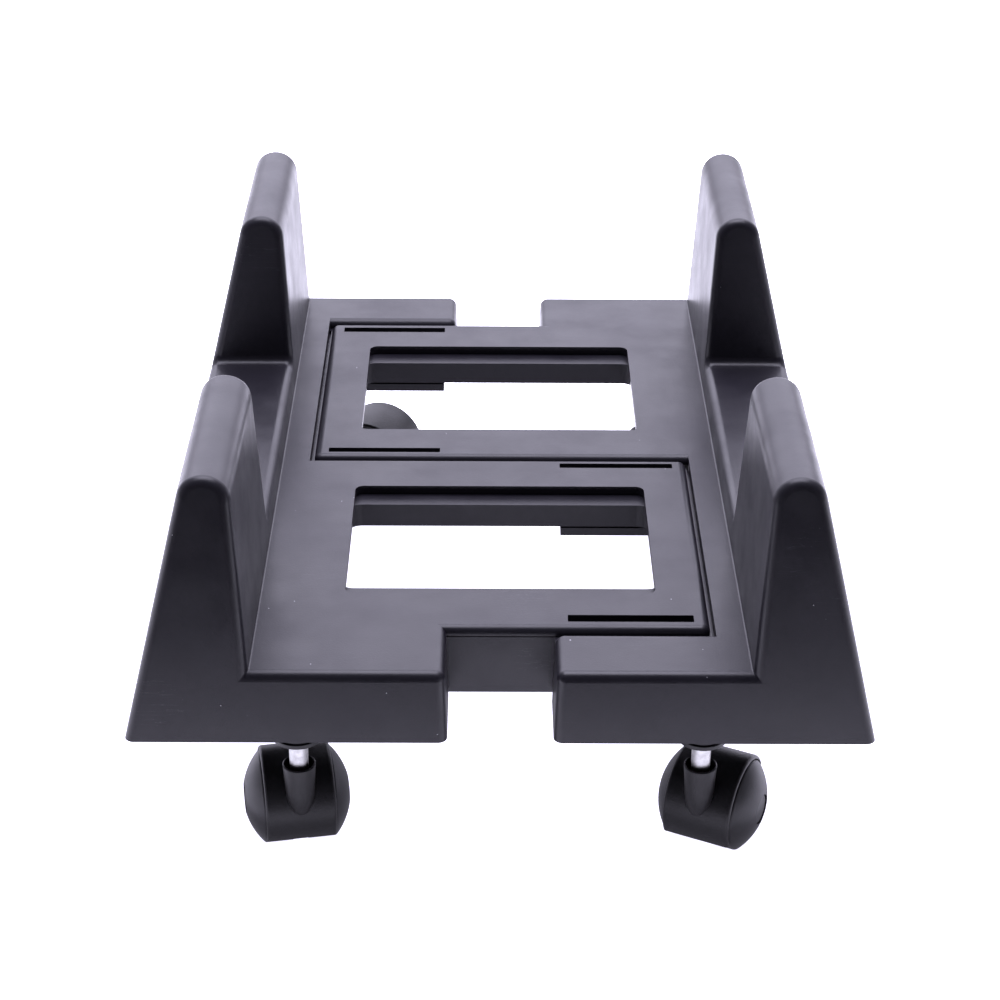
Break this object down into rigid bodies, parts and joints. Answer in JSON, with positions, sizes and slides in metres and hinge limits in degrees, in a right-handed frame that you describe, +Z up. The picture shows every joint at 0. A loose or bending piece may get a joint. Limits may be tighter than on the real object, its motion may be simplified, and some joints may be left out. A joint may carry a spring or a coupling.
{
  "type": "computer tower stand",
  "caption": "Low rolling stand for a computer tower: interlocking halves that slide apart to fit its width, tall side horns, an open deck and swivelling twin-wheel casters.",
  "frame": {"origin": "on the floor, under the middle of the closed stand", "axes": "+X the adjusting direction, towards the right half; +Y to the rear; +Z up"},
  "size_m": [0.2288, 0.2834, 0.1398],
  "materials": {
    "body_plastic": "satin, fine moulded grain",
    "hood_plastic": "satin",
    "wheel_plastic": "satin",
    "hub_cap_plastic": "satin",
    "socket_plastic": "satin",
    "stem_steel": "bright zinc plating",
    "spring_steel": "plain"
  },
  "bodies": {
    "left_half": {"left_half": "body_plastic", "front_left_caster_socket": "socket_plastic", "front_left_caster_stem": "stem_steel", "front_left_caster_grip_ring": "spring_steel", "front_left_caster_retaining_ring": "spring_steel", "rear_left_caster_socket": "socket_plastic", "rear_left_caster_stem": "stem_steel", "rear_left_caster_grip_ring": "spring_steel", "rear_left_caster_retaining_ring": "spring_steel"},
    "right_half": {"right_half": "body_plastic", "front_right_caster_socket": "socket_plastic", "front_right_caster_stem": "stem_steel", "front_right_caster_grip_ring": "spring_steel", "front_right_caster_retaining_ring": "spring_steel", "rear_right_caster_socket": "socket_plastic", "rear_right_caster_stem": "stem_steel", "rear_right_caster_grip_ring": "spring_steel", "rear_right_caster_retaining_ring": "spring_steel"},
    "front_left_swivel": {"front_left_caster_hood": "hood_plastic", "front_left_caster_axle": "stem_steel"},
    "front_left_left_wheel": {"front_left_caster_left_wheel": "wheel_plastic", "front_left_caster_left_hub_cap": "hub_cap_plastic"},
    "front_left_right_wheel": {"front_left_caster_right_wheel": "wheel_plastic", "front_left_caster_right_hub_cap": "hub_cap_plastic"},
    "front_right_swivel": {"front_right_caster_hood": "hood_plastic", "front_right_caster_axle": "stem_steel"},
    "front_right_left_wheel": {"front_right_caster_left_wheel": "wheel_plastic", "front_right_caster_left_hub_cap": "hub_cap_plastic"},
    "front_right_right_wheel": {"front_right_caster_right_wheel": "wheel_plastic", "front_right_caster_right_hub_cap": "hub_cap_plastic"},
    "rear_left_swivel": {"rear_left_caster_hood": "hood_plastic", "rear_left_caster_axle": "stem_steel"},
    "rear_left_left_wheel": {"rear_left_caster_left_wheel": "wheel_plastic", "rear_left_caster_left_hub_cap": "hub_cap_plastic"},
    "rear_left_right_wheel": {"rear_left_caster_right_wheel": "wheel_plastic", "rear_left_caster_right_hub_cap": "hub_cap_plastic"},
    "rear_right_swivel": {"rear_right_caster_hood": "hood_plastic", "rear_right_caster_axle": "stem_steel"},
    "rear_right_left_wheel": {"rear_right_caster_left_wheel": "wheel_plastic", "rear_right_caster_left_hub_cap": "hub_cap_plastic"},
    "rear_right_right_wheel": {"rear_right_caster_right_wheel": "wheel_plastic", "rear_right_caster_right_hub_cap": "hub_cap_plastic"}
  },
  "joints": [
    {"name": "width_adjustment", "type": "slide", "parent": "left_half", "child": "right_half", "axis": [1, 0, 0], "range_m": [0, 0.08]},
    {"name": "front_left_swivel", "type": "hinge", "parent": "left_half", "child": "front_left_swivel", "pos_m": [-0.0627, -0.1285, 0.0358], "axis": [0, 0, 1], "continuous": true},
    {"name": "front_left_left_wheel_spin", "type": "hinge", "parent": "front_left_swivel", "child": "front_left_left_wheel", "pos_m": [-0.06511, -0.11522, 0.01475], "axis": [0.9839, 0.1788, 0], "continuous": true},
    {"name": "front_left_right_wheel_spin", "type": "hinge", "parent": "front_left_swivel", "child": "front_left_right_wheel", "pos_m": [-0.06511, -0.11522, 0.01475], "axis": [0.9839, 0.1788, 0], "continuous": true},
    {"name": "front_right_swivel", "type": "hinge", "parent": "right_half", "child": "front_right_swivel", "pos_m": [0.0627, -0.1285, 0.0358], "axis": [0, 0, 1], "continuous": true},
    {"name": "front_right_left_wheel_spin", "type": "hinge", "parent": "front_right_swivel", "child": "front_right_left_wheel", "pos_m": [0.06855, -0.11634, 0.01475], "axis": [0.9011, -0.4337, 0], "continuous": true},
    {"name": "front_right_right_wheel_spin", "type": "hinge", "parent": "front_right_swivel", "child": "front_right_right_wheel", "pos_m": [0.06855, -0.11634, 0.01475], "axis": [0.9011, -0.4337, 0], "continuous": true},
    {"name": "rear_left_swivel", "type": "hinge", "parent": "left_half", "child": "rear_left_swivel", "pos_m": [-0.0627, 0.1285, 0.0358], "axis": [0, 0, 1], "continuous": true},
    {"name": "rear_left_left_wheel_spin", "type": "hinge", "parent": "rear_left_swivel", "child": "rear_left_left_wheel", "pos_m": [-0.04994, 0.1241, 0.01475], "axis": [-0.3256, -0.9455, 0], "continuous": true},
    {"name": "rear_left_right_wheel_spin", "type": "hinge", "parent": "rear_left_swivel", "child": "rear_left_right_wheel", "pos_m": [-0.04994, 0.1241, 0.01475], "axis": [-0.3256, -0.9455, 0], "continuous": true},
    {"name": "rear_right_swivel", "type": "hinge", "parent": "right_half", "child": "rear_right_swivel", "pos_m": [0.0627, 0.1285, 0.0358], "axis": [0, 0, 1], "continuous": true},
    {"name": "rear_right_left_wheel_spin", "type": "hinge", "parent": "rear_right_swivel", "child": "rear_right_left_wheel", "pos_m": [0.06945, 0.11681, 0.01475], "axis": [-0.866, -0.5, 0], "continuous": true},
    {"name": "rear_right_right_wheel_spin", "type": "hinge", "parent": "rear_right_swivel", "child": "rear_right_right_wheel", "pos_m": [0.06945, 0.11681, 0.01475], "axis": [-0.866, -0.5, 0], "continuous": true}
  ]
}
